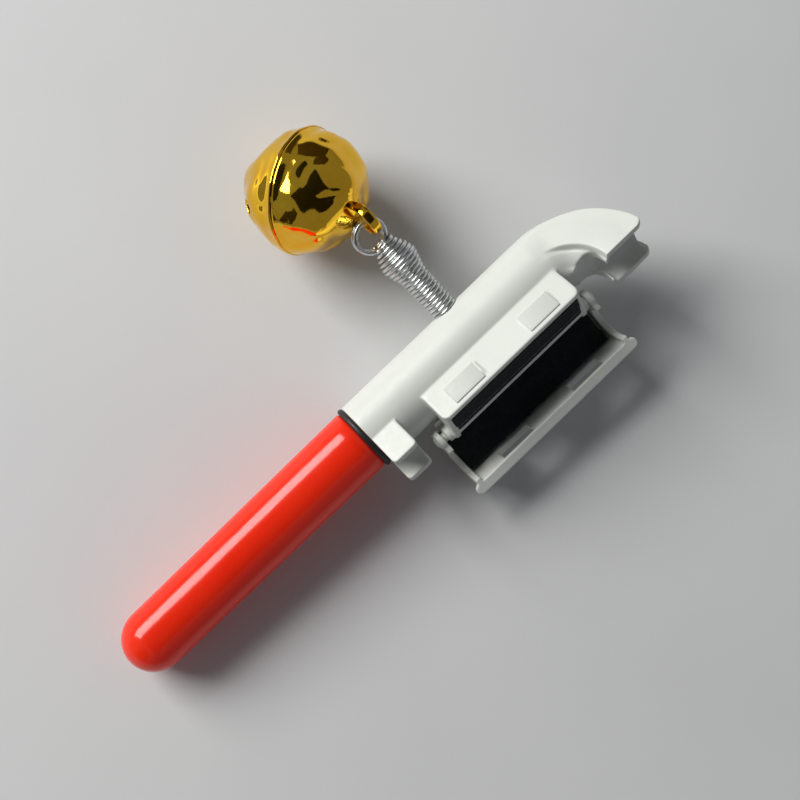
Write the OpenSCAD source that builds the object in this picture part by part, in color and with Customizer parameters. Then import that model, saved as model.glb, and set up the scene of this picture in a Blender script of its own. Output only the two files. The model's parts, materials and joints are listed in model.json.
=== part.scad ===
// Rod-tip bite alarm: a screw-in light tube and a sprung bell on a padded snap clamp.
// Millimetres. The object lies on a table: +Z is up and +X runs along the tube.

/* [Tube] */
// Outer radius of the white tube
tube_r = 7; // [6.7:0.1:7.4]
// Radius of the chamber that holds the cells
chamber_r = 6.05; // [6.05:0.01:6.15]
// Depth of that chamber
chamber_len = 23.4; // [23.4:0.1:24.4]
// Radius of the tube's bend into the saddle
bend_r = 11.5; // [11:0.5:12]

/* [Light] */
// Radius of the light tube at its shoulder
light_r = 6.7; // [6.5:0.1:6.9]
// Radius of the light tube's rounded tip
tip_r = 6.35; // [6.2:0.05:6.4]
// Distance from the seal to the centre of the tip's dome
light_len = 56; // [50:1:60]
// Wall of the light tube
light_wall = 1.0; // [0.8:0.1:1.2]

/* [Clamp] */
// Height of the fixed jaw's top face above the tube's axis
jaw_top = 4.95; // [4.8:0.05:5.1]
// Reach of the fixed jaw from the tube's axis
jaw_reach = 12.55; // [12.3:0.05:12.8]
// Length of the fixed jaw along the tube
jaw_len = 35.2; // [34:0.2:36]
// How far the tray has swung open from closed, in degrees
tray_open = 138; // [125:1:140]
// Depth of the tray below its hinge
tray_depth = 5.5; // [5.4:0.1:5.6]
// Length of each window and of each catch
window_len = 8; // [7:0.5:8.5]

/* [Bell] */
// Outer radius of the bell
bell_r = 12.5; // [12.3:0.1:12.7]
// Sheet thickness of the bell
bell_wall = 0.5; // [0.4:0.05:0.6]
// Radius of the loose pellet
pellet_r = 3.2; // [2.5:0.1:3.6]

/* [Spring] */
// Wire diameter of the spring
wire_d = 0.8; // [0.7:0.05:0.82]
// Mean radius of the spring's straight end
coil_r = 2.45; // [2.4:0.05:2.5]
// How much the spring's barrel swells
barrel_swell = 1.45; // [1:0.05:1.6]

/* [Rest pose] */
// Roll of the tube about its own length
roll = 30.9; // [30.5:0.1:31.2]
// Rise of the tube towards the saddle
pitch = 3.2; // [3:0.1:3.4]

/* [Hidden] */
$fn = 64;
eps = 0.05;

// Places along the tube, from the plane of the seal
shell_start = 0.35;
shoulder = -0.95;
neck_r = 5.95;
neck_end = 6.9;
bend_x = 47.5;
saddle_z = 6.3;
wing_t = 1.7;
wing_x = 55.4;
wing_start = 44.2;
bend_open = 49.6;
bend_roof = -6.9;
bend_round = 2.4;
wing_end = 65.6;
wing_round = 1.8;
wing_out_r = 16.8;
wing_in_r = 9.9;
wing_tip_y = -11.5;
foot_end = 6.1;
foot_z = 5.3;
jaw_x = 12.6;
jaw_end = jaw_x + jaw_len;
jaw_floor = -4.9;
lip_reach = 11.5;
jaw_round = 1.5;
pad_back = 7.6;
skin = 1.1;
top_skin = 1.4;
lip_skin = 0.8;

// Hinge of the tray, and the tray's own sizes, measured from the hinge when closed
hinge_y = -9.3;
hinge_z = -5.55;
pin_r = 1.0;
pin_gap = 0.06;
tray_wall = 1.2;
wall_at = 11.1;
rim_top = 2.8;
rim_out = 13.3;
rim_t = 1.0;
tray_x0 = 9.3;
tray_x1 = 50.4;
rim_side = 1.1;
notch_r = 3.7;
notch_up = 0.3;
notch_along = 6.3;
pad_t = 2.05;
window_x = [16.7, 35.7];
window_low = -2.8;
window_high = 1.85;
catch_front = -11.5;
catch_back = -7.7;
catch_h = 0.25;

// Height of the tube's axis where it passes the seal, so that the tip's dome meets the table
axis_up = tip_r + light_len * sin(pitch);
// Centre of the resting object's outline, seen from above
plan = [1.57, 15.01];

// A point of the tube's frame, moved to where the object rests
function rolled(p) = [p[0], p[1] * cos(roll) + p[2] * sin(roll), p[2] * cos(roll) - p[1] * sin(roll)];
function pitched(p) = [p[0] * cos(pitch) - p[2] * sin(pitch), p[1], p[0] * sin(pitch) + p[2] * cos(pitch)];
function rested(p) = pitched(rolled(p)) + [-plan[0], -plan[1], axis_up];

module at_rest() {
    translate([-plan[0], -plan[1], axis_up]) rotate([0, -pitch, 0]) rotate([-roll, 0, 0]) children();
}

// Takes children placed in the resting frame back into the tube's frame
module un_rest() {
    rotate([roll, 0, 0]) rotate([0, pitch, 0]) translate([plan[0], plan[1], -axis_up]) children();
}

// Stands the children's Z axis along a direction given by its heading and its rise
module aim(heading, rise) {
    rotate([0, 90 - rise, heading]) children();
}

// Turns a profile of [radius, place along the tube] about the tube's axis
module turned() {
    rotate([0, 90, 0]) rotate_extrude() children();
}

module along_x(x) {
    translate([x, 0, 0]) rotate([0, 90, 0]) children();
}

// Rectangle with round corners, as two crossed rectangles and four discs
module round_rect(low, high, r) {
    translate(low + [r, 0]) square(high - low - [2 * r, 0]);
    translate(low + [0, r]) square(high - low - [0, 2 * r]);
    for (x = [low[0] + r, high[0] - r], y = [low[1] + r, high[1] - r]) {
        translate([x, y]) circle(r = r, $fn = 32);
    }
}

// ---------- White moulding ----------

rod_y = -11.6;
saddle_groove_r = 4.7;
foot_groove_r = 3.8;

spring_seat_x = 28.4;
seat_drop = 1.5;
spring_heading = 91.3;
spring_rise = 11;
socket_r = 3.0;
socket_floor = 2.6;

module from_seat() {
    translate(rested([spring_seat_x, 0, 0]) - [0, 0, seat_drop]) aim(spring_heading, spring_rise) children();
}

module tube_solid() {
    along_x(shell_start) cylinder(r = tube_r, h = bend_x - shell_start);
    translate([bend_x, -bend_r, 0]) rotate_extrude(angle = 90) translate([bend_r, 0]) circle(r = tube_r);
}

// Outline of one saddle wing: a curved blade that leaves the tube and ends in a square tip
module wing_outline() {
    difference() {
        intersection() {
            translate([bend_x + 1.4, wing_tip_y - 1.5]) circle(r = wing_out_r, $fn = 96);
            union() {
                translate([wing_start, wing_tip_y + wing_round]) square([30, 40]);
                round_rect([wing_x, wing_tip_y], [wing_end, 0], wing_round);
            }
        }
        translate([bend_x - 1.5, -bend_r]) circle(r = wing_in_r, $fn = 96);
    }
}

module saddle_wings() {
    for (side = [-1, 1]) {
        translate([0, 0, side * (saddle_z - wing_t / 2) - wing_t / 2]) linear_extrude(wing_t) wing_outline();
    }
}

module foot() {
    translate([0, 0, -foot_z]) linear_extrude(2 * foot_z)
        round_rect([shell_start, wing_tip_y - 0.2], [foot_end, -2.5], 0.9);
}

// Section of the fixed jaw across the tube, with its front leaning back to the lower lip
module jaw_outline(top, low) {
    polygon([
        [-3, jaw_top - top], [-jaw_reach, jaw_top - top],
        [-lip_reach, jaw_floor + low], [-3, jaw_floor + low]
    ]);
}

module jaw_prism(end_inset, top, low) {
    intersection() {
        translate([jaw_x + end_inset, 0, 0]) rotate([90, 0, 90])
            linear_extrude(jaw_len - 2 * end_inset) jaw_outline(top, low);
        translate([0, 0, jaw_floor]) linear_extrude(jaw_top - jaw_floor)
            round_rect([jaw_x + end_inset, -jaw_reach], [jaw_end - end_inset, 0], jaw_round - end_inset);
    }
}

module fixed_jaw() {
    difference() {
        jaw_prism(0, 0, 0);
        intersection() {
            jaw_prism(skin, top_skin, lip_skin);
            translate([0, -20, -10]) cube([60, 20 - pad_back, 20]);
        }
    }
}

module catches() {
    for (x = window_x) {
        translate([x + 0.3, 0, jaw_top - eps]) rotate([90, 0, 90]) linear_extrude(window_len - 0.6) polygon([
            [catch_front, 0], [catch_back, 0], [catch_back, catch_h + eps], [catch_front + 1.2, catch_h + eps]
        ]);
    }
}

// Lug and stub pin that carry the tray at one end of the jaw
module trunnion(x, out) {
    translate([x, hinge_y, hinge_z]) rotate([0, 90 * out, 0]) {
        translate([0, 0, -skin]) cylinder(r = 2, h = skin);
        cylinder(r = 1.6, h = 1.2);
        cylinder(r = pin_r, h = jaw_x - tray_x0 - 0.5);
    }
}

module body_shell() {
    color("whitesmoke") at_rest() difference() {
        union() {
            tube_solid();
            saddle_wings();
            foot();
            fixed_jaw();
            catches();
            trunnion(jaw_x, -1);
            trunnion(jaw_end, 1);
        }
        // open space under the bend, between the wings
        translate([0, 0, -tube_r - 1]) linear_extrude(2 * tube_r + 2)
            round_rect([bend_open, -20], [wing_x, bend_roof], bend_round);
        // chamber for the cells
        along_x(shell_start - 1) cylinder(r = chamber_r, h = chamber_len + 1);
        // grooves that guide the rod
        translate([shell_start - 1, rod_y, 0]) rotate([0, 90, 0])
            cylinder(r = foot_groove_r, h = foot_end + 1.2);
        translate([bend_x + 0.8, rod_y, 0]) rotate([0, 90, 0]) cylinder(r = saddle_groove_r, h = 30);
        translate([bend_x + 0.8, -30 + wing_tip_y, -10]) cube([30, 30, 20]);
        // socket for the spring
        un_rest() from_seat() translate([0, 0, socket_floor]) cylinder(r = socket_r, h = 8);
    }
}

// ---------- Tray ----------

module tray_place(turn) {
    translate([0, hinge_y, hinge_z]) rotate([turn, 0, 0]) children();
}

// Side view of one end wall: Y is up out of the tray and Z runs from the hinge to the far wall
module end_outline() {
    difference() {
        union() {
            polygon([
                [-tray_depth - tray_wall, 0.3], [-tray_depth - tray_wall, wall_at + tray_wall],
                [rim_top, wall_at + tray_wall], [rim_top, notch_along], [1.6, 0.5], [0, -2], [-2, -1.4]
            ]);
            circle(r = 2.1);
        }
        translate([notch_up, notch_along]) circle(r = notch_r);
        translate([notch_up, notch_along - notch_r]) square([10, 2 * notch_r]);
    }
}

module end_wall(x) {
    translate([x, 0, 0]) rotate([90, 0, 90]) linear_extrude(tray_wall) end_outline();
}

module ear_dome(x, out) {
    translate([x, 0, 0]) rotate([0, 90 * out, 0]) intersection() {
        translate([0, 0, -1.7]) sphere(r = 2.4);
        cylinder(r = 3, h = 2);
    }
}

module tray_solid() {
    width = tray_x1 - tray_x0;
    // floor, near lip and far wall
    translate([tray_x0, -tray_depth - tray_wall, 0.3]) cube([width, tray_wall, wall_at + tray_wall - 0.3]);
    translate([tray_x0 + 2, -tray_depth - tray_wall, -1]) cube([width - 4, 2.6, 1.3 + eps]);
    translate([tray_x0, -tray_depth - tray_wall, wall_at])
        cube([width, tray_depth + tray_wall + rim_top, tray_wall]);
    // rim that the thumb lifts
    translate([0, rim_top, 0]) rotate([90, 0, 0]) linear_extrude(rim_t)
        round_rect([tray_x0 - rim_side, wall_at], [tray_x1 + rim_side, rim_out], 1.05);
    end_wall(tray_x0);
    end_wall(tray_x1 - tray_wall);
    ear_dome(tray_x0, -1);
    ear_dome(tray_x1, 1);
}

module clamp_tray() {
    color("whitesmoke") at_rest() tray_place(tray_open) difference() {
        tray_solid();
        for (x = window_x) {
            translate([x, window_low, wall_at - 1]) cube([window_len, window_high - window_low, 10]);
        }
        for (x = [tray_x0 - 0.3, tray_x1 - tray_wall - eps]) {
            along_x(x) cylinder(r = pin_r + pin_gap, h = tray_wall + 0.3 + eps);
        }
    }
}

// ---------- Foam ----------

module fixed_jaw_pad() {
    color("black") at_rest() intersection() {
        jaw_prism(skin + eps, top_skin + eps, lip_skin + eps);
        translate([0, -20, -10]) cube([60, 20 - pad_back - eps, 20]);
    }
}

module tray_pad() {
    color("black") at_rest() tray_place(tray_open)
        translate([10.7, -tray_depth, 0.6]) cube([37.8, pad_t, 9.85]);
}

// ---------- Light ----------

// Outer outline of the light tube turned about its own length, from neck to tip
module light_outline(shrink) {
    translate([0, -light_len]) intersection() {
        circle(r = tip_r - shrink);
        translate([0, -tip_r]) square([tip_r, tip_r]);
    }
    polygon([
        [0, -light_len], [tip_r - shrink, -light_len],
        [light_r - shrink, shoulder - shrink], [0, shoulder - shrink]
    ]);
}

module light_tube() {
    color("orangered", 0.9) at_rest() turned() difference() {
        union() {
            light_outline(0);
            translate([0, shoulder - eps]) square([neck_r, neck_end - shoulder + eps]);
        }
        light_outline(light_wall);
        translate([0, shoulder - 2]) square([neck_r - 0.85, neck_end - shoulder + 4]);
    }
}

seal_r = 0.6;

module seal_ring() {
    color("black") at_rest() along_x((shell_start + shoulder) / 2) rotate_extrude()
        translate([neck_r + seal_r + 0.02, 0]) circle(r = seal_r, $fn = 32);
}

// Inside the neck, from the bulb back to the cells
holder_r = neck_r - 0.85 - 0.05;
holder_front = 0.6;
board_x = neck_end + 0.15;
board_t = 0.8;
bulb_r = 2.5;
lead_r = 0.25;
lead_half = 1.27;
cell_r = 5.75;
cell_h = 5.4;
cell_x = board_x + board_t + 0.75;

module led_holder() {
    color("white") at_rest() difference() {
        along_x(holder_front) cylinder(r = holder_r, h = neck_end - holder_front);
        along_x(holder_front - 1) cylinder(r = bulb_r + 0.5, h = 2.6);
        along_x(holder_front + 3) cylinder(r = holder_r - 1, h = neck_end);
        for (side = [-1, 1]) {
            translate([0, 0, side * lead_half]) along_x(0) cylinder(r = lead_r + 0.1, h = neck_end);
        }
    }
}

module led_bulb() {
    color("red", 0.7) at_rest() {
        along_x(holder_front + 0.55) cylinder(r = bulb_r + 0.4, h = 1);
        along_x(holder_front - 4.7) cylinder(r = bulb_r, h = 5.4);
        along_x(holder_front - 4.7) sphere(r = bulb_r);
    }
}

module led_leads() {
    color("silver") at_rest() for (side = [-1, 1]) {
        translate([0, 0, side * lead_half]) along_x(holder_front + 1.57)
            cylinder(r = lead_r, h = board_x + board_t - holder_front - 1.57 + 0.3);
    }
}

module led_board() {
    color("green") at_rest() difference() {
        along_x(board_x) cylinder(r = neck_r - 0.2, h = board_t);
        for (side = [-1, 1]) {
            translate([0, 0, side * lead_half]) along_x(board_x - 1) cylinder(r = lead_r + 0.05, h = 4);
        }
    }
}

module led_resistor() {
    color("tan") at_rest() translate([board_x - 1.05, 2.2, -1.6]) cylinder(r = 0.9, h = 3.2);
}

module contact_stud() {
    color("gold") at_rest() along_x(board_x + board_t + 0.02) {
        cylinder(r = 1, h = 0.35);
        cylinder(r = 0.7, h = cell_x - board_x - board_t - 0.04);
    }
}

// Button cell: a can with a smaller raised cap facing the light
module cell(x) {
    color("silver") at_rest() turned() difference() {
        translate([0, x]) square([cell_r, cell_h]);
        translate([cell_r - 0.9, x - eps]) square([2, 0.45 + eps]);
    }
}

module cell_front() {
    cell(cell_x);
}

module cell_rear() {
    cell(cell_x + cell_h + 0.05);
}

can_end = chamber_len + shell_start - 0.45;

module battery_can() {
    color("gold") at_rest() turned() difference() {
        translate([0, cell_x - 0.4]) square([chamber_r - 0.05, can_end - cell_x + 0.4]);
        translate([-1, cell_x - 1]) square([cell_r + 0.06 + 1, can_end - cell_x - 0.3 + 1]);
    }
}

module can_insulator() {
    color("ivory") at_rest() turned() difference() {
        translate([0, cell_x - 0.7]) square([chamber_r - 0.1, 0.28]);
        translate([-1, cell_x - 1]) square([5.6, 2]);
    }
}

// Point on a coil at a given turn: its mean radius and its place along the axis are given
function coil_point(turn, side, r, z) = [
    (r + wire_d / 2 * cos(side)) * cos(turn * 360),
    (r + wire_d / 2 * cos(side)) * sin(turn * 360),
    z + wire_d / 2 * sin(side)
];

sides = 6;
steps = 12;

// Closed skin over rings of points, with the first and last rings capped
module sweep(rings) {
    n = len(rings);
    polyhedron(
        points = [for (ring = rings) each ring],
        faces = concat(
            [[for (k = [0 : sides - 1]) k]],
            [for (i = [0 : n - 2], k = [0 : sides - 1]) let (a = i * sides, b = a + sides, j = (k + 1) % sides)
                [a + k, b + k, b + j]],
            [for (i = [0 : n - 2], k = [0 : sides - 1]) let (a = i * sides, b = a + sides, j = (k + 1) % sides)
                [a + k, b + j, a + j]],
            [[for (k = [sides - 1 : -1 : 0]) (n - 1) * sides + k]]
        )
    );
}

spring_start = cell_x + 2 * cell_h + 0.15;
contact_turns = 4;

module contact_spring() {
    room = can_end - 0.4 - wire_d / 2 - spring_start - wire_d / 2 * 0.6;
    color("silver") at_rest() along_x(spring_start + wire_d / 2 * 0.6) scale(0.6) sweep([
        for (i = [0 : contact_turns * steps])
            let (t = i / (contact_turns * steps))
            [for (k = [0 : sides - 1]) coil_point(i / steps, -k * 60, 4 + 4 * t, room / 0.6 * t)]
    ]);
}

// ---------- Bell spring ----------

coil_start = 3.9;
coil_mid = 14.6;
coil_end = 25.2;
coil_pitch = 0.86;

// Mean radius of the coil at a place along its axis: straight, then a barrel that narrows at its end
function coil_mean(z) = let (t = max(0, (z - coil_mid) / (coil_end - coil_mid)))
    coil_r - 0.5 * t + barrel_swell * (1 - cos(360 * pow(t, 1.2))) / 2;

module coil(z0, z1) {
    turns = (z1 - z0) / coil_pitch;
    color("silver") from_seat() sweep([
        for (i = [0 : ceil(turns * steps)])
            let (turn = min(turns, i / steps), z = z0 + turn * coil_pitch)
            [for (k = [0 : sides - 1]) coil_point(z / coil_pitch, -k * 60, coil_mean(z), z)]
    ]);
}

module spring_root() {
    coil(coil_start, coil_mid);
}

module spring_barrel() {
    coil(coil_mid, coil_end);
}

module spring_anchor() {
    color("gold") from_seat() {
        translate([0, 0, socket_floor + 0.02])
            cylinder(r = socket_r - 0.05, h = coil_start - wire_d / 2 - socket_floor - 0.1);
        translate([0, 0, socket_floor + 0.02]) cylinder(r = coil_r - wire_d / 2 - 0.06, h = 5);
    }
}

// ---------- Bell ----------

bell_at = [24.4, 41.9, bell_r] - [plan[0], plan[1], 0];
bell_heading = -60.8;
bell_rise = 30.3;
strap_r = 3.15;
strap_t = 0.8;
strap_w = 2.0;
strap_at = [28.2, 29.6, 17.6] - [plan[0], plan[1], 0];
hook_at = [26.7, 27.05, 15.5] - [plan[0], plan[1], 0];
hook_r = 3.2;
hook_wire = 0.5;
hook_tilt = 30;
slot_turn = 45;
slot_w = 1.8;
slot_reach = 52;
slot_hole_r = 1.9;

module spring_hook() {
    color("silver") {
        translate(hook_at) rotate([hook_tilt, 0, 0]) rotate_extrude()
            translate([hook_r, 0]) circle(r = hook_wire, $fn = 24);
        from_seat() translate([0, 0, coil_end - 0.1]) rotate([0, 90, 0])
            cylinder(r = hook_wire, h = 2 * coil_mean(coil_end), center = true);
    }
}

module from_bell() {
    translate(bell_at) aim(bell_heading, bell_rise) children();
}

module half_shell(low) {
    rotate_extrude() difference() {
        circle(r = bell_r, $fn = 96);
        circle(r = bell_r - bell_wall, $fn = 96);
        translate([-20, -20]) square([20, 40]);
        translate([-20, low ? 0 : -40]) square([40, 40]);
    }
}

module bell_upper_shell() {
    color("goldenrod") from_bell() half_shell(false);
}

module bell_lower_shell() {
    color("goldenrod") from_bell() difference() {
        half_shell(true);
        for (turn = [0, 90]) {
            rotate([0, 0, turn + slot_turn]) {
                reach = bell_r * sin(slot_reach);
                translate([-reach, -slot_w / 2, -bell_r - 1]) cube([2 * reach, slot_w, bell_r]);
                for (side = [-1, 1]) {
                    rotate([0, side * slot_reach, 0]) translate([0, 0, -bell_r - 1])
                        cylinder(r = slot_hole_r, h = 3);
                }
            }
        }
    }
}

module bell_eye() {
    color("goldenrod") difference() {
        translate(strap_at) rotate([0, 90, 0]) rotate_extrude()
            translate([strap_r, 0]) square([strap_t, strap_w], center = true);
        from_bell() sphere(r = bell_r - bell_wall, $fn = 96);
    }
}

module bell_pellet() {
    color("silver") translate(bell_at - [0, 0, bell_r - bell_wall - pellet_r - 0.15]) sphere(r = pellet_r);
}

body_shell();
clamp_tray();
fixed_jaw_pad();
tray_pad();
light_tube();
seal_ring();
led_holder();
led_bulb();
led_leads();
led_board();
led_resistor();
contact_stud();
battery_can();
cell_front();
cell_rear();
can_insulator();
contact_spring();
spring_anchor();
spring_root();
spring_barrel();
spring_hook();
bell_upper_shell();
bell_lower_shell();
bell_eye();
bell_pellet();
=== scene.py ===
import json
import math

import bmesh
import bpy
import numpy as np
from mathutils import Matrix, Vector, noise

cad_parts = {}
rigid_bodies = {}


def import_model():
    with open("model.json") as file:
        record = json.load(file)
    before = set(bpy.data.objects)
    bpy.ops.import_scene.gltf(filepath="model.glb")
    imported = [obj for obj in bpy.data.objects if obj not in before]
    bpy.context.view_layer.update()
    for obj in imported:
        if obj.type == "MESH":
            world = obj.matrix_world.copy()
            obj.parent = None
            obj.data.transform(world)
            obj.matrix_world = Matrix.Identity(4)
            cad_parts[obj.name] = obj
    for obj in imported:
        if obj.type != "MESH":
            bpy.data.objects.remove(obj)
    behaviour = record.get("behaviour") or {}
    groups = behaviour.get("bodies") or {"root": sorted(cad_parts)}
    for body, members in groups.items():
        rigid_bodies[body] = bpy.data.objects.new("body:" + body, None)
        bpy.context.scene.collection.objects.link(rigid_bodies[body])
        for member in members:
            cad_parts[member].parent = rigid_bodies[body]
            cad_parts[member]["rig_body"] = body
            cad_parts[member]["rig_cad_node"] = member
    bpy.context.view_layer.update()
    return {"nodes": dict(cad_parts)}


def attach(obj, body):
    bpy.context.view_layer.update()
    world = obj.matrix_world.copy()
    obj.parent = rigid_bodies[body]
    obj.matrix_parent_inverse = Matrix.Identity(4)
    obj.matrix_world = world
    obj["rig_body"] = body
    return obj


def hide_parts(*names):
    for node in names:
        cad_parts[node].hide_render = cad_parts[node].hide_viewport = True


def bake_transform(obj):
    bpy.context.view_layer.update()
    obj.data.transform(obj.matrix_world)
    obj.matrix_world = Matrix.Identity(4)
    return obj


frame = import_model()

MM = 0.001

# ---------- The object's own frame, in millimetres ----------
# The tube lies along X, the bell stands on the +Y side and the clamp opens on the -Y side.
ROLL, PITCH = math.radians(30.9), math.radians(3.2)
LIGHT_LEN, TIP_R, SHOULDER_R, SHOULDER_X = 56.0, 6.35, 6.7, -0.95
AXIS_UP = TIP_R + LIGHT_LEN * math.sin(PITCH)
PLAN = Vector((1.57, 15.01, 0))
REST = (
    Matrix.Translation((-PLAN.x, -PLAN.y, AXIS_UP))
    @ Matrix.Rotation(-PITCH, 4, "Y")
    @ Matrix.Rotation(-ROLL, 4, "X")
)
TO_METRES = Matrix.Scale(MM, 4)

# Spring seat and bell, as they rest
SPRING_HEADING, SPRING_RISE = math.radians(91.3), math.radians(11)
SPRING_DIR = Vector((
    math.cos(SPRING_RISE) * math.cos(SPRING_HEADING),
    math.cos(SPRING_RISE) * math.sin(SPRING_HEADING),
    math.sin(SPRING_RISE),
))
SPRING_SEAT = REST @ Vector((28.4, 0, 0)) - Vector((0, 0, 1.5))
COIL_START, COIL_MID, COIL_END, COIL_PITCH = 3.9, 14.6, 25.2, 0.86
COIL_R, BARREL_CLOSE, BARREL_SWELL, WIRE_R = 2.45, 0.5, 1.45, 0.4
BELL_R, BELL_WALL = 12.5, 0.5
BELL_AT = Vector((24.4, 41.9, BELL_R)) - PLAN
BELL_HEADING, BELL_RISE = math.radians(-60.8), math.radians(30.3)
STRAP_AT = Vector((28.2, 29.6, 17.6)) - PLAN
STRAP_R, STRAP_T, STRAP_W = 3.15, 0.8, 2.0
HOOK_AT = Vector((26.7, 27.05, 15.5)) - PLAN
HOOK_R, HOOK_WIRE, HOOK_TILT = 3.2, 0.5, math.radians(30)


# ---------- Mesh helpers ----------

def circle(count):
    """Angles of equal steps round a full turn."""
    return [2 * math.pi * k / count for k in range(count)]


def new_object(name, bm, smooth=True):
    """Makes an object in the row frame, in metres, from a bmesh in millimetres."""
    mesh = bpy.data.meshes.new(name)
    bm.to_mesh(mesh)
    bm.free()
    mesh.transform(TO_METRES)
    obj = bpy.data.objects.new(name, mesh)
    bpy.context.scene.collection.objects.link(obj)
    for face in mesh.polygons:
        face.use_smooth = smooth
    return obj


def finished(obj, material, body, replaces=()):
    """Gives a piece its material and body, and hides the CAD nodes that it stands for."""
    obj.data.materials.clear()
    obj.data.materials.append(material)
    if body:
        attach(obj, body)
    if replaces:
        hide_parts(*replaces)
    return obj


def skin_rings(bm, rings, closed=False, caps=False):
    """Joins rings of points with quads; closed joins the last ring to the first."""
    verts = [[bm.verts.new(p) for p in ring] for ring in rings]
    count = len(verts[0])
    pairs = list(zip(verts, verts[1:] + ([verts[0]] if closed else [])))
    for a, b in pairs:
        for k in range(count):
            bm.faces.new((a[k], b[k], b[(k + 1) % count], a[(k + 1) % count]))
    if caps:
        bm.faces.new(verts[0])
        bm.faces.new(list(reversed(verts[-1])))
    return verts


def lathe(profile, place, steps=96, shape=None):
    """Turns a closed outline of (radius, height) about Z and places it. shape may move each point."""
    bm = bmesh.new()
    rings = []
    for r, z in profile:
        ring = []
        for a in circle(steps):
            p = Vector((r * math.cos(a), r * math.sin(a), z))
            ring.append(place @ (shape(p) if shape else p))
        rings.append(ring)
    skin_rings(bm, rings, closed=True)
    bmesh.ops.remove_doubles(bm, verts=bm.verts, dist=1e-4)
    bmesh.ops.recalc_face_normals(bm, faces=bm.faces)
    return bm


def tube_along(points, radius, sides=12, closed=False):
    """Round wire through points. The section is carried along without twisting."""
    bm = bmesh.new()
    rings = []
    count = len(points)
    normal = None
    for i, p in enumerate(points):
        before = points[i - 1] if i or closed else p
        after = points[(i + 1) % count] if i + 1 < count or closed else p
        tangent = (after - before).normalized()
        if normal is None:
            normal = tangent.orthogonal().normalized()
        normal = (normal - tangent * normal.dot(tangent)).normalized()
        side = tangent.cross(normal)
        rings.append([p + radius * (normal * math.cos(a) + side * math.sin(a)) for a in circle(sides)])
    skin_rings(bm, rings, closed, caps=not closed)
    bmesh.ops.recalc_face_normals(bm, faces=bm.faces)
    return bm


def moulded(name, node, place, voxel, rounds, extra=None):
    """Copy of a CAD node with softened edges: remeshed in the frame given by place, then relaxed.

    extra may move the finished mesh's points.
    """
    to_row = TO_METRES @ place @ TO_METRES.inverted()
    obj = frame["nodes"][node].copy()
    obj.data = obj.data.copy()
    obj.name = obj.data.name = name
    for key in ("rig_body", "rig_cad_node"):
        if key in obj:
            del obj[key]
    obj.parent = None
    obj.matrix_world = Matrix.Identity(4)
    bpy.context.scene.collection.objects.link(obj)
    bm = bmesh.new()
    bm.from_mesh(obj.data)
    bmesh.ops.remove_doubles(bm, verts=bm.verts, dist=1e-7)
    bm.to_mesh(obj.data)
    bm.free()
    obj.data.transform(to_row.inverted())
    remesh = obj.modifiers.new("remesh", "REMESH")
    remesh.mode = "VOXEL"
    remesh.voxel_size = voxel * MM
    relax = obj.modifiers.new("relax", "SMOOTH")
    relax.factor = 0.5
    relax.iterations = rounds
    depsgraph = bpy.context.evaluated_depsgraph_get()
    mesh = bpy.data.meshes.new_from_object(obj.evaluated_get(depsgraph))
    obj.modifiers.clear()
    obj.data = mesh
    mesh.name = name
    mesh.transform(to_row)
    if extra:
        extra(mesh)
    for face in mesh.polygons:
        face.use_smooth = True
    return obj


# ---------- Materials ----------

class Shader:
    """A Principled material with short calls for noise, ramps and bump."""

    def __init__(self, name, **values):
        self.material = bpy.data.materials.new(name)
        self.material.use_nodes = True
        self.tree = self.material.node_tree
        self.bsdf = self.tree.nodes["Principled BSDF"]
        for key, value in values.items():
            self.bsdf.inputs[key.replace("_", " ")].default_value = value
        self.where = self.tree.nodes.new("ShaderNodeTexCoord").outputs["Object"]

    def noise(self, per_mm, detail=4.0, rough=0.55, stretch=(1, 1, 1), distortion=0.0):
        mapping = self.tree.nodes.new("ShaderNodeMapping")
        mapping.inputs["Scale"].default_value = [per_mm / MM * s for s in stretch]
        node = self.tree.nodes.new("ShaderNodeTexNoise")
        node.inputs["Scale"].default_value = 1.0
        node.inputs["Detail"].default_value = detail
        node.inputs["Roughness"].default_value = rough
        node.inputs["Distortion"].default_value = distortion
        self.tree.links.new(self.where, mapping.inputs["Vector"])
        self.tree.links.new(mapping.outputs["Vector"], node.inputs["Vector"])
        return node.outputs["Fac"]

    def cells(self, per_mm):
        mapping = self.tree.nodes.new("ShaderNodeMapping")
        mapping.inputs["Scale"].default_value = [per_mm / MM] * 3
        node = self.tree.nodes.new("ShaderNodeTexVoronoi")
        node.inputs["Scale"].default_value = 1.0
        self.tree.links.new(self.where, mapping.inputs["Vector"])
        self.tree.links.new(mapping.outputs["Vector"], node.inputs["Vector"])
        return node.outputs["Distance"]

    def spread(self, source, low, high, start=0.35, end=0.65):
        node = self.tree.nodes.new("ShaderNodeMapRange")
        node.inputs["From Min"].default_value = start
        node.inputs["From Max"].default_value = end
        node.inputs["To Min"].default_value = low
        node.inputs["To Max"].default_value = high
        self.tree.links.new(source, node.inputs["Value"])
        return node.outputs["Result"]

    def colours(self, source, first, second, start=0.35, end=0.65):
        node = self.tree.nodes.new("ShaderNodeMix")
        node.data_type = "RGBA"
        node.inputs["A"].default_value = (*first, 1)
        node.inputs["B"].default_value = (*second, 1)
        self.tree.links.new(self.spread(source, 0, 1, start, end), node.inputs["Factor"])
        return node.outputs["Result"]

    def set(self, name, source):
        self.tree.links.new(source, self.bsdf.inputs[name])

    def bump(self, *layers):
        """layers are (height source, distance in millimetres)."""
        last = None
        for source, distance in layers:
            node = self.tree.nodes.new("ShaderNodeBump")
            node.inputs["Distance"].default_value = distance * MM
            self.tree.links.new(source, node.inputs["Height"])
            if last:
                self.tree.links.new(last, node.inputs["Normal"])
            last = node.outputs["Normal"]
        self.tree.links.new(last, self.bsdf.inputs["Normal"])


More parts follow.
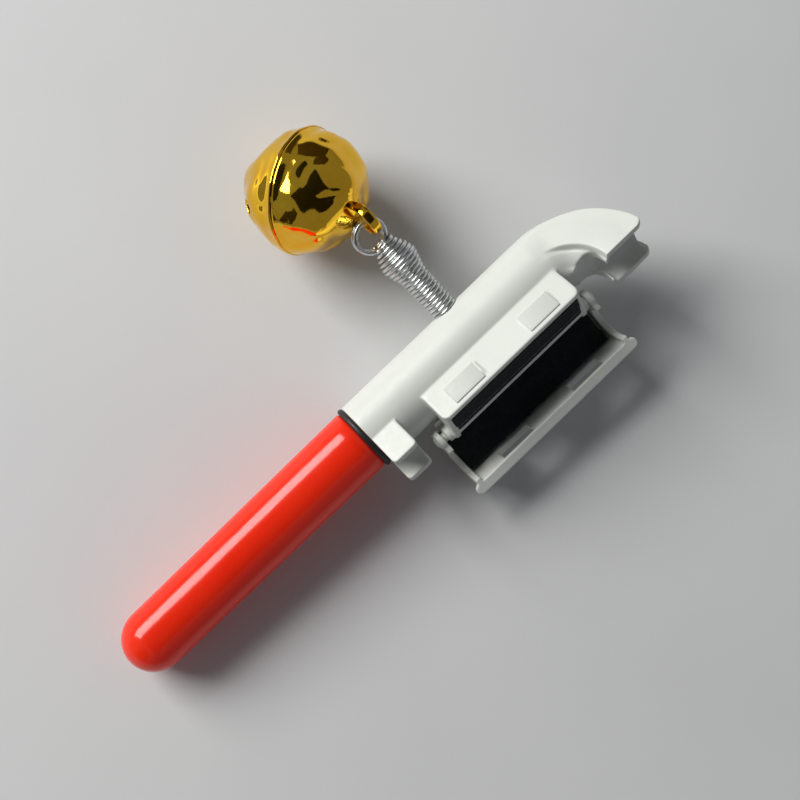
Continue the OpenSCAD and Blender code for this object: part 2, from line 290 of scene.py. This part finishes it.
def white_plastic(name="white_plastic", tint=1.0, rough=0.4):
    s = Shader(name, Subsurface_Weight=0.12, Subsurface_Scale=1.2 * MM, Specular_IOR_Level=0.45)
    s.bsdf.inputs["Subsurface Radius"].default_value = (1.0, 0.9, 0.75)
    flow = s.noise(0.07, 3, 0.5, distortion=1.2)
    base = tuple(tint * c for c in (0.70, 0.72, 0.67))
    s.set("Base Color", s.colours(flow, base, tuple(c * 0.965 for c in base)))
    s.set("Roughness", s.spread(s.noise(0.9, 6, 0.6), rough - 0.05, rough + 0.09))
    s.bump((s.noise(0.16, 2), 0.05), (s.noise(6, 3), 0.004))
    return s.material


def red_light():
    # Painted glow: the weak red emission stands in for light from the paper shining through the translucent
    # plastic, not a lit lamp
    s = Shader(
        "red_light", Subsurface_Weight=0.55, Subsurface_Scale=3.0 * MM, Transmission_Weight=0.12,
        IOR=1.5, Coat_Weight=0.05, Coat_Roughness=0.12, Specular_IOR_Level=0.30,
        Emission_Color=(1.0, 0.04, 0.015, 1), Emission_Strength=0.05,
    )
    s.bsdf.inputs["Subsurface Radius"].default_value = (1.0, 0.16, 0.06)
    flow = s.noise(0.05, 3, 0.5, stretch=(0.25, 1, 1), distortion=0.6)
    s.set("Base Color", s.colours(flow, (0.93, 0.036, 0.009), (0.85, 0.022, 0.006)))
    s.set("Roughness", s.spread(s.noise(0.35, 5, 0.6, stretch=(0.15, 1, 1)), 0.11, 0.19))
    s.bump((s.noise(0.22, 2, stretch=(0.12, 1, 1)), 0.05), (s.noise(1.8, 4), 0.004))
    return s.material


def gold():
    s = Shader("bell_gold", Metallic=1.0)
    s.set("Base Color", s.colours(s.noise(0.12, 4, 0.6), (0.98, 0.60, 0.045), (0.93, 0.50, 0.03)))
    s.set("Roughness", s.spread(s.noise(0.5, 6, 0.65), 0.03, 0.10))
    s.bump((s.noise(0.11, 1), 0.55), (s.noise(0.4, 2, 0.5), 0.03), (s.noise(9, 2), 0.0012))
    return s.material


def wire():
    s = Shader("spring_wire", Metallic=1.0)
    s.set("Base Color", s.colours(s.noise(0.5, 4), (0.80, 0.82, 0.81), (0.61, 0.64, 0.63)))
    s.set("Roughness", s.spread(s.noise(1.2, 5), 0.19, 0.34))
    s.bump((s.noise(3.5, 3), 0.006))
    return s.material


def foam():
    s = Shader("black_foam", Specular_IOR_Level=0.16, Sheen_Weight=0.04)
    s.bsdf.inputs["Sheen Tint"].default_value = (0.3, 0.5, 0.6, 1)
    cells = s.cells(2.6)
    s.set("Base Color", s.colours(s.noise(1.5, 5), (0.007, 0.0095, 0.0105), (0.014, 0.018, 0.019)))
    s.set("Roughness", s.spread(cells, 0.92, 0.68, 0.0, 0.6))
    s.bump((cells, 0.10), (s.noise(5, 4), 0.03))
    return s.material


def rubber():
    s = Shader("black_rubber")
    s.set("Base Color", s.colours(s.noise(0.8, 4), (0.010, 0.010, 0.011), (0.02, 0.02, 0.021)))
    s.set("Roughness", s.spread(s.noise(2.5, 5), 0.38, 0.6))
    s.bump((s.noise(4, 4), 0.008))
    return s.material


def plain_metal(name, first, second, low, high):
    s = Shader(name, Metallic=1.0)
    s.set("Base Color", s.colours(s.noise(0.4, 4), first, second))
    s.set("Roughness", s.spread(s.noise(2, 5), low, high))
    s.bump((s.noise(4, 3), 0.004))
    return s.material


def plain_plastic(name, first, second, low, high, **values):
    s = Shader(name, **values)
    s.set("Base Color", s.colours(s.noise(0.5, 4), first, second))
    s.set("Roughness", s.spread(s.noise(2, 5), low, high))
    s.bump((s.noise(3, 4), 0.006))
    return s.material


WHITE = white_plastic()
# Painted shade: the catch tiles get the white plastic at 0.84 of its brightness, so they stand out darker on
# the jaw's top
TILE = white_plastic("catch_plastic_painted_shade", 0.84, 0.45)
RED = red_light()
GOLD = gold()
WIRE = wire()
FOAM = foam()
RUBBER = rubber()
BRASS = plain_metal("brass", (0.78, 0.56, 0.22), (0.66, 0.45, 0.16), 0.2, 0.38)
STEEL = plain_metal("cell_steel", (0.72, 0.72, 0.70), (0.6, 0.6, 0.585), 0.18, 0.34)
PELLET = plain_metal("pellet_steel", (0.45, 0.45, 0.44), (0.3, 0.3, 0.3), 0.3, 0.5)
NATURAL = plain_plastic("natural_plastic", (0.8, 0.78, 0.7), (0.74, 0.71, 0.62), 0.35, 0.5)
BOARD = plain_plastic("circuit_board", (0.02, 0.19, 0.07), (0.015, 0.14, 0.05), 0.25, 0.4)
CERAMIC = plain_plastic("ceramic", (0.62, 0.45, 0.26), (0.5, 0.36, 0.2), 0.3, 0.45)
BULB = plain_plastic(
    "bulb_epoxy", (0.85, 0.05, 0.03), (0.75, 0.04, 0.025), 0.05, 0.12, Transmission_Weight=0.7
)

# The hidden parts keep their CAD shapes and get their own materials
INNER = {
    "led_holder": NATURAL, "can_insulator": NATURAL, "led_bulb": BULB, "led_leads": STEEL,
    "led_board": BOARD, "led_resistor": CERAMIC, "contact_stud": BRASS, "battery_can": BRASS,
    "cell_front": STEEL, "cell_rear": STEEL, "contact_spring": WIRE, "spring_anchor": BRASS,
    "bell_pellet": PELLET,
}
for node, material in INNER.items():
    obj = frame["nodes"][node]
    obj.data.materials.clear()
    obj.data.materials.append(material)


# ---------- White mouldings ----------

# The relaxing grows from SADDLE_START to SADDLE_FULL along the tube, and from FAIR_Y over FAIR_Y_RUN across it.
# Inside BORE_R, up to BORE_END, the tube's bore stays as it is.
SADDLE_START, SADDLE_FULL = 43.0, 49.0
FAIR_Y, FAIR_Y_RUN, FAIR_PULL = -8.5, 4, 0.5
BORE_R, BORE_END = 6, 48.5
# The wings' top faces: the centre and radius of the curved edge, its step and how softly it falls
WING_EDGE_AT, WING_EDGE_R, WING_STEP, WING_EDGE_IN, WING_EDGE_RUN = (46.0, -11.5), 9.9, 1.5, 0.3, 0.55
WING_STEP_X, WING_FLAT_X, WING_X_RUN = 48.0, 46.0, 5
WING_ROOT_Z, WING_ROOT_RUN = 2.5, 2
WING_FACE_Z, WING_FLATTEN = 6.2, 0.85


def eased(t):
    """Smooth step from 0 to 1."""
    t = np.clip(t, 0, 1)
    return t * t * (3 - 2 * t)


def fair_saddle(mesh, rounds=22):
    """Relaxes the bend and its wings further, so that they flow into the tube without a crease."""
    back = np.array((TO_METRES @ REST).inverted())
    co = np.empty(len(mesh.vertices) * 3)
    mesh.vertices.foreach_get("co", co)
    co = co.reshape(-1, 3)
    local = co @ back[:3, :3].T + back[:3, 3]
    x, y, z = local.T
    weight = FAIR_PULL * np.clip((x - SADDLE_START) / (SADDLE_FULL - SADDLE_START), 0, 1)
    weight = weight * np.clip((y - FAIR_Y) / FAIR_Y_RUN, 0, 1)
    weight[(np.hypot(y, z) < BORE_R) & (x < BORE_END)] = 0
    ends = np.empty(len(mesh.edges) * 2, int)
    mesh.edges.foreach_get("vertices", ends)
    a, b = ends.reshape(-1, 2).T
    count = np.bincount(ends, minlength=len(co))[:, None]
    for _ in range(rounds):
        near = np.zeros_like(co)
        for axis in range(3):
            near[:, axis] = np.bincount(a, co[b, axis], len(co)) + np.bincount(b, co[a, axis], len(co))
        co += weight[:, None] * (near / count - co)
    # The wings' top faces end in a crisp curved edge that fades out towards the tube
    local = co @ back[:3, :3].T + back[:3, 3]
    x, y, z = local.T
    outside = np.hypot(x - WING_EDGE_AT[0], y - WING_EDGE_AT[1]) - WING_EDGE_R
    face = eased((np.abs(z) - WING_ROOT_Z) / WING_ROOT_RUN)
    sink = WING_STEP * eased((x - WING_STEP_X) / WING_X_RUN) * eased((WING_EDGE_IN - outside) / WING_EDGE_RUN)
    sink = sink * face
    flat = eased((x - WING_FLAT_X) / WING_X_RUN) * np.clip(np.abs(z) - WING_FACE_Z, 0, None) * WING_FLATTEN
    local[:, 2] -= np.sign(z) * (sink + flat)
    forward = np.array(TO_METRES @ REST)
    co = local @ forward[:3, :3].T + forward[:3, 3]
    mesh.vertices.foreach_set("co", co.ravel())


shell = moulded("Housing", "body_shell", REST, 0.2, 5, fair_saddle)
finished(shell, WHITE, "housing", ["body_shell"])
HINGE_AT, TRAY_OPEN = Vector((0, -9.3, -5.55)), math.radians(138)
TRAY_PLACE = REST @ Matrix.Translation(HINGE_AT) @ Matrix.Rotation(TRAY_OPEN, 4, "X")
tray = moulded("Clamp_tray", "clamp_tray", TRAY_PLACE, 0.16, 4)
finished(tray, WHITE, "tray", ["clamp_tray"])

# Raised catch tiles on the jaw's top, which the tray's windows snap over; their plastic is darkened with
# painted shade
JAW_TOP, TILE_LIFT, TILE_ROOT, TILE_EDGE = 4.95, 0.28, 0.3, 0.22
TILE_X, TILE_LEN, TILE_Y = (16.5, 35.95), 7.5, (-11.55, -7.3)
for index, x in enumerate(TILE_X):
    size = Vector((TILE_LEN, TILE_Y[1] - TILE_Y[0], TILE_LIFT + TILE_ROOT))
    middle = Vector((x + size.x / 2, sum(TILE_Y) / 2, JAW_TOP + TILE_LIFT - size.z / 2))
    bm = bmesh.new()
    bmesh.ops.create_cube(bm, size=1, matrix=REST @ Matrix.Translation(middle) @ Matrix.Diagonal((*size, 1)))
    bmesh.ops.bevel(bm, geom=list(bm.edges), offset=TILE_EDGE, segments=4, profile=0.5, affect="EDGES")
    tile = new_object(f"Catch_tile_{index + 1}", bm)
    finished(tile, TILE, "housing")

# ---------- Light tube ----------

ALONG_X = Matrix.Rotation(math.radians(90), 4, "Y")


LIGHT_WALL, LIGHT_EDGE, LEAD_IN, POLE_R = 1.0, 0.3, 0.1, 0.02
NECK_R, NECK_END, NECK_WALL, INNER_START = 5.95, 6.9, 0.85, 1.2
SIDE_STEPS, DOME_STEPS, INNER_STEPS = 24, 24, 13


def light_profile():
    """Outline in (radius, place along X): the neck, shoulder, side and dome, then back down the inside."""
    bore_r = NECK_R - NECK_WALL
    points = [
        (bore_r, NECK_END), (NECK_R - LEAD_IN, NECK_END), (NECK_R, NECK_END - LIGHT_EDGE),
        (NECK_R, SHOULDER_X + LEAD_IN),
        (SHOULDER_R - LIGHT_EDGE, SHOULDER_X), (SHOULDER_R, SHOULDER_X - LIGHT_EDGE),
    ]
    side_len = LIGHT_LEN + SHOULDER_X - LIGHT_EDGE
    for i in range(1, SIDE_STEPS + 1):
        t = i / SIDE_STEPS
        points.append((SHOULDER_R + (TIP_R - SHOULDER_R) * t, SHOULDER_X - LIGHT_EDGE - side_len * t))
    for i in range(1, DOME_STEPS):
        a = math.radians(90 * i / DOME_STEPS)
        points.append((TIP_R * math.cos(a), -LIGHT_LEN - TIP_R * math.sin(a)))
    inner = TIP_R - LIGHT_WALL
    points += [(POLE_R, -LIGHT_LEN - TIP_R), (POLE_R, -LIGHT_LEN - inner)]
    for i in range(INNER_STEPS - 1, -1, -1):
        a = math.radians(90 * i / INNER_STEPS)
        points.append((inner * math.cos(a), -LIGHT_LEN - inner * math.sin(a)))
    points.append((bore_r, SHOULDER_X - INNER_START))
    return points


light = new_object("Light_tube", lathe(light_profile(), REST @ ALONG_X))
finished(light, RED, "light", ["light_tube"])

SEAL_WIRE_R, SEAL_R, SEAL_X = 0.6, 6.57, -0.3
ring_profile = [(SEAL_R + SEAL_WIRE_R * math.cos(a), SEAL_X + SEAL_WIRE_R * math.sin(a)) for a in circle(24)]
seal = new_object("Seal_ring", lathe(ring_profile, REST @ ALONG_X))
finished(seal, RUBBER, "seal", ["seal_ring"])

# ---------- Foam pads ----------


FOAM_SINK = 0.04
FOAM_RIPPLES = ((2.2, 0.05), (0.5, 0.025))


def roughened(mesh):
    """Foam isn't flat: each point moves in or out by a few hundredths of a millimetre."""
    for v in mesh.vertices:
        ripple = sum(noise.noise(v.co / (size * MM)) * depth for size, depth in FOAM_RIPPLES) - FOAM_SINK
        v.co += v.normal * ripple * MM


for name, node, body in (("Jaw_foam", "fixed_jaw_pad", "housing"), ("Tray_foam", "tray_pad", "tray")):
    pad = moulded(name, node, Matrix.Identity(4), 0.2, 3, roughened)
    finished(pad, FOAM, body, [node])

# ---------- Springs ----------


def aimed(at, heading, rise):
    """Placement whose Z axis points along a heading and a rise."""
    turn = Matrix.Rotation(heading, 4, "Z") @ Matrix.Rotation(math.pi / 2 - rise, 4, "Y")
    return Matrix.Translation(at) @ turn


FROM_SEAT = aimed(SPRING_SEAT, SPRING_HEADING, SPRING_RISE)


def coil_mean(z):
    """Radius of the coil at a height: straight at first, then swelling into the barrel and closing in."""
    t = max(0.0, (z - COIL_MID) / (COIL_END - COIL_MID))
    return COIL_R - BARREL_CLOSE * t + BARREL_SWELL * (1 - math.cos(2 * math.pi * t ** 1.2)) / 2


def coil_points(z0, z1, per_turn=40):
    count = int((z1 - z0) / COIL_PITCH * per_turn)
    points = []
    for i in range(count + 1):
        z = z0 + (z1 - z0) * i / count
        a = 2 * math.pi * z / COIL_PITCH
        points.append(FROM_SEAT @ Vector((coil_mean(z) * math.cos(a), coil_mean(z) * math.sin(a), z)))
    return points


root = new_object("Spring_root", tube_along(coil_points(COIL_START, COIL_MID), WIRE_R))
finished(root, WIRE, None, ["spring_root"])
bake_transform(root)
barrel = new_object("Spring_barrel", tube_along(coil_points(COIL_MID, COIL_END), WIRE_R))
finished(barrel, WIRE, None, ["spring_barrel"])
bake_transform(barrel)

HOOK_PLACE = Matrix.Translation(HOOK_AT) @ Matrix.Rotation(HOOK_TILT, 4, "X")
# The hook is two turns of wire side by side, and a short bar joins it to the coil
HOOK_TURNS, HOOK_SPREAD, HOOK_STEPS = 2, 0.94, 64
BAR_WIRE, BAR_LIFT, BAR_STEPS = 0.42, 0.25, 12
loop = []
for k in range(HOOK_STEPS * HOOK_TURNS + 1):
    a = 2 * math.pi * k / HOOK_STEPS - math.pi / 2
    aside = HOOK_SPREAD * (k / HOOK_STEPS - HOOK_TURNS / 2)
    loop.append(HOOK_PLACE @ Vector((HOOK_R * math.cos(a), HOOK_R * math.sin(a), aside)))
hook = new_object("Spring_hook", tube_along(loop, HOOK_WIRE, 16))
finished(hook, WIRE, "spring_upper", ["spring_hook"])
end_r = coil_mean(COIL_END)
bar = []
for i in range(BAR_STEPS + 1):
    lift = BAR_LIFT * math.sin(math.pi * i / BAR_STEPS)
    bar.append(FROM_SEAT @ Vector((end_r * (2 * i / BAR_STEPS - 1), 0, COIL_END + lift)))
crossbar = new_object("Spring_crossbar", tube_along(bar, BAR_WIRE))
finished(crossbar, WIRE, "spring_upper")

# ---------- Bell ----------

FROM_BELL = aimed(BELL_AT, BELL_HEADING, BELL_RISE)
BACK = FROM_BELL.to_3x3().inverted()
# Dents as (direction seen from the bell's middle, half-width in radians, depth)
DENTS = [
    ((BACK @ Vector((-0.10, 0.99, 0.05))).normalized(), 0.42, 1.1),
    ((BACK @ Vector((0.70, 0.10, 0.70))).normalized(), 0.34, 0.55),
    ((BACK @ Vector((-0.55, 0.20, 0.80))).normalized(), 0.30, 0.5),
    ((BACK @ Vector((-0.30, -0.90, 0.15))).normalized(), 0.30, 0.45),
]
FOLD_SEED, FOLD_SCALE, FOLD_DEPTH = Vector((3.1, 7.7, 1.3)), 2.1, 0.75
CREASE_SCALE, CREASE_DEPTH = 1.7, 0.22
# The seam's rim is stiff: within SEAM_BAND it keeps SEAM_HOLD of its round shape
SEAM_HOLD, SEAM_BAND = 0.8, 0.08


def dented(p):
    """Pulls a point of the thin shell in: a few dents, broad folds and narrow creases between them."""
    r = p.length
    if r < 1e-6:
        return p
    d = p / r
    shrink = 0.0
    for at, width, depth in DENTS:
        gap = math.acos(max(-1.0, min(1.0, d.dot(at))))
        shrink += depth * math.exp(-(gap / width) ** 2)
    shrink += FOLD_DEPTH * (0.5 + noise.noise(d * FOLD_SCALE + FOLD_SEED))
    shrink += CREASE_DEPTH * (1 - abs(noise.noise(d * CREASE_SCALE - FOLD_SEED)) * 2) ** 4
    return p * (1 - shrink * (1 - SEAM_HOLD * math.exp(-(d.z / SEAM_BAND) ** 2)) / BELL_R)


SHELL_STEPS, LIP_SWELL, LIP_WIDTH = 32, 0.012, 0.10


def shell_profile(low):
    """Outline of one half of the bell. The lower half swells into a lip at the seam."""
    sign, lip = (-1, LIP_SWELL) if low else (1, 0.0)
    inside_r = BELL_R - BELL_WALL
    outer, inner = [], []
    for i in range(SHELL_STEPS + 1):
        a = math.radians(90 * i / SHELL_STEPS)
        swell = 1 + lip * math.exp(-(a / LIP_WIDTH) ** 2)
        outer.append((max(POLE_R, BELL_R * swell * math.cos(a)), sign * BELL_R * math.sin(a)))
        inner.append((max(POLE_R, inside_r * math.cos(a)), sign * inside_r * math.sin(a)))
    return outer + list(reversed(inner))


upper = new_object("Bell_upper", lathe(shell_profile(False), FROM_BELL, 128, dented))
finished(upper, GOLD, "bell", ["bell_upper_shell"])
lower = new_object("Bell_lower", lathe(shell_profile(True), FROM_BELL, 128, dented))


def cut_from(obj, bm):
    """Adds an exact boolean that takes the bmesh away from obj."""
    tool = new_object("tool", bm)
    cut = obj.modifiers.new("cut", "BOOLEAN")
    cut.object, cut.operation, cut.solver = tool, "DIFFERENCE", "EXACT"
    cut.use_self = True


# Two crossed slots, each ending in a round hole at both ends
SLOT_TURN, SLOT_W, SLOT_REACH, SLOT_HOLE_R = math.radians(45), 1.8, math.radians(52), 1.9
SLOT_TOOL_DROP, HOLE_TOOL_RISE, HOLE_TOOL_LEN = 4, 1.5, 7
for turn in (0, math.pi / 2):
    place = FROM_BELL @ Matrix.Rotation(turn + SLOT_TURN, 4, "Z")
    middle = Matrix.Translation((0, 0, -BELL_R / 2 - SLOT_TOOL_DROP))
    size = Matrix.Diagonal((2 * BELL_R * math.sin(SLOT_REACH), SLOT_W, BELL_R, 1))
    bm = bmesh.new()
    bmesh.ops.create_cube(bm, size=1, matrix=place @ middle @ size)
    cut_from(lower, bm)
    for side in (-1, 1):
        outwards = place @ Matrix.Rotation(side * SLOT_REACH, 4, "Y")
        bm = bmesh.new()
        bmesh.ops.create_cone(
            bm, cap_ends=True, segments=32, radius1=SLOT_HOLE_R, radius2=SLOT_HOLE_R, depth=HOLE_TOOL_LEN,
            matrix=outwards @ Matrix.Translation((0, 0, -BELL_R + HOLE_TOOL_RISE)),
        )
        cut_from(lower, bm)
lower_mesh = bpy.data.meshes.new_from_object(lower.evaluated_get(bpy.context.evaluated_depsgraph_get()))
lower.modifiers.clear()
lower.data = lower_mesh
for o in [o for o in bpy.data.objects if o.name.startswith("tool")]:
    bpy.data.objects.remove(o)
for face in lower.data.polygons:
    face.use_smooth = True
finished(lower, GOLD, "bell", ["bell_lower_shell"])

# Strap: a band with rounded edges, bent into a loop
BAND_ROUND = 0.7


def softened(value):
    """Pulls a sine or cosine towards the corners, which makes a round section squarer."""
    return math.copysign(abs(value) ** BAND_ROUND, value)


strap_rings = []
for a in circle(72):
    out = Vector((0, math.cos(a), math.sin(a)))
    ring = []
    for b in circle(20):
        across, thick = STRAP_W / 2 * softened(math.cos(b)), STRAP_T / 2 * softened(math.sin(b))
        ring.append(STRAP_AT + out * (STRAP_R + thick) + Vector((across, 0, 0)))
    strap_rings.append(ring)
bm = bmesh.new()
skin_rings(bm, strap_rings, closed=True)
bmesh.ops.recalc_face_normals(bm, faces=bm.faces)
strap = new_object("Bell_strap", bm)
finished(strap, GOLD, "bell", ["bell_eye"])

# ---------- Stage ----------

# Metres from here on
FLOOR_SIZE = 3.0
WINDOW_AT, WINDOW_SIZE = (-0.25, 0.75, 0.55), (0.62, 0.46)
WINDOW_WATTS, WINDOW_COLOUR = 11.3, (1.0, 0.995, 0.98)
SKY_COLOUR, SKY_STRENGTH = (0.90, 0.94, 1.0), 0.235
# Dark boards that show in the polished parts: name, place, what they face, size, colour
CARDS = (
    ("Photographer", (-0.02, -0.06, 0.34), (-0.02, -0.06, 1.0), (0.42, 0.46), (0.01, 0.01, 0.012)),
    ("Curtain", (0.50, 0.42, 0.26), (0, 0, 0), (0.45, 0.45), (0.05, 0.035, 0.025)),
    ("Door", (-0.62, -0.10, 0.30), (0, 0, 0), (0.35, 0.5), (0.03, 0.022, 0.018)),
)


def facing(at, target, axis):
    """Rotation that points one axis of something at a target."""
    return (Vector(target) - Vector(at)).to_track_quat(axis, "Y").to_euler()


bpy.ops.mesh.primitive_plane_add(size=FLOOR_SIZE, location=(0, 0, 0))
floor = bpy.context.object
floor.name = "Floor"
paper = Shader("paper", Specular_IOR_Level=0.25)
paper.set("Base Color", paper.colours(paper.noise(0.01, 3), (0.70, 0.705, 0.70), (0.67, 0.67, 0.675)))
paper.set("Roughness", paper.spread(paper.noise(0.6, 5), 0.75, 0.9))
paper.bump((paper.noise(1.2, 6, 0.7), 0.02))
floor.data.materials.append(paper.material)

window_data = bpy.data.lights.new("Window", "AREA")
window_data.shape = "RECTANGLE"
window_data.size, window_data.size_y = WINDOW_SIZE
window_data.energy = WINDOW_WATTS
window_data.color = WINDOW_COLOUR
window = bpy.data.objects.new("Window", window_data)
window.location = WINDOW_AT
window.rotation_euler = facing(WINDOW_AT, (0, 0, 0), "-Z")
bpy.context.scene.collection.objects.link(window)

for name, at, target, size, colour in CARDS:
    bpy.ops.mesh.primitive_plane_add(size=1.0, location=at)
    card = bpy.context.object
    card.name = name
    card.scale = (*size, 1)
    card.rotation_euler = facing(at, target, "Z")
    board = Shader(name, Base_Color=(*colour, 1), Roughness=0.9)
    card.data.materials.append(board.material)

world = bpy.data.worlds.new("World")
world.use_nodes = True
world.node_tree.nodes["Background"].inputs["Color"].default_value = (*SKY_COLOUR, 1)
world.node_tree.nodes["Background"].inputs["Strength"].default_value = SKY_STRENGTH
bpy.context.scene.world = world

# ---------- Camera, at the photograph's viewing angle; its place is in millimetres ----------

LENS, SENSOR_WIDTH, CLIP_START = 62.07, 36, 0.01
CAMERA_AT = Vector((-18.54, -9.34, 276.09))
CAMERA_RIGHT = Vector((0.7164, -0.6924, 0.0856))
CAMERA_LOOK = Vector((0.0996, -0.0199, -0.9948))
back = -CAMERA_LOOK.normalized()
right = (CAMERA_RIGHT - back * CAMERA_RIGHT.dot(back)).normalized()
up = back.cross(right)
camera_data = bpy.data.cameras.new("Camera")
camera_data.sensor_width = SENSOR_WIDTH
camera_data.lens = LENS
camera_data.clip_start = CLIP_START
camera = bpy.data.objects.new("Camera", camera_data)
camera.matrix_world = Matrix.Translation(CAMERA_AT * MM) @ Matrix((
    (right.x, up.x, back.x), (right.y, up.y, back.y), (right.z, up.z, back.z)
)).to_4x4()
bpy.context.scene.collection.objects.link(camera)
bpy.context.scene.camera = camera
bpy.context.scene.view_settings.view_transform = "Standard"
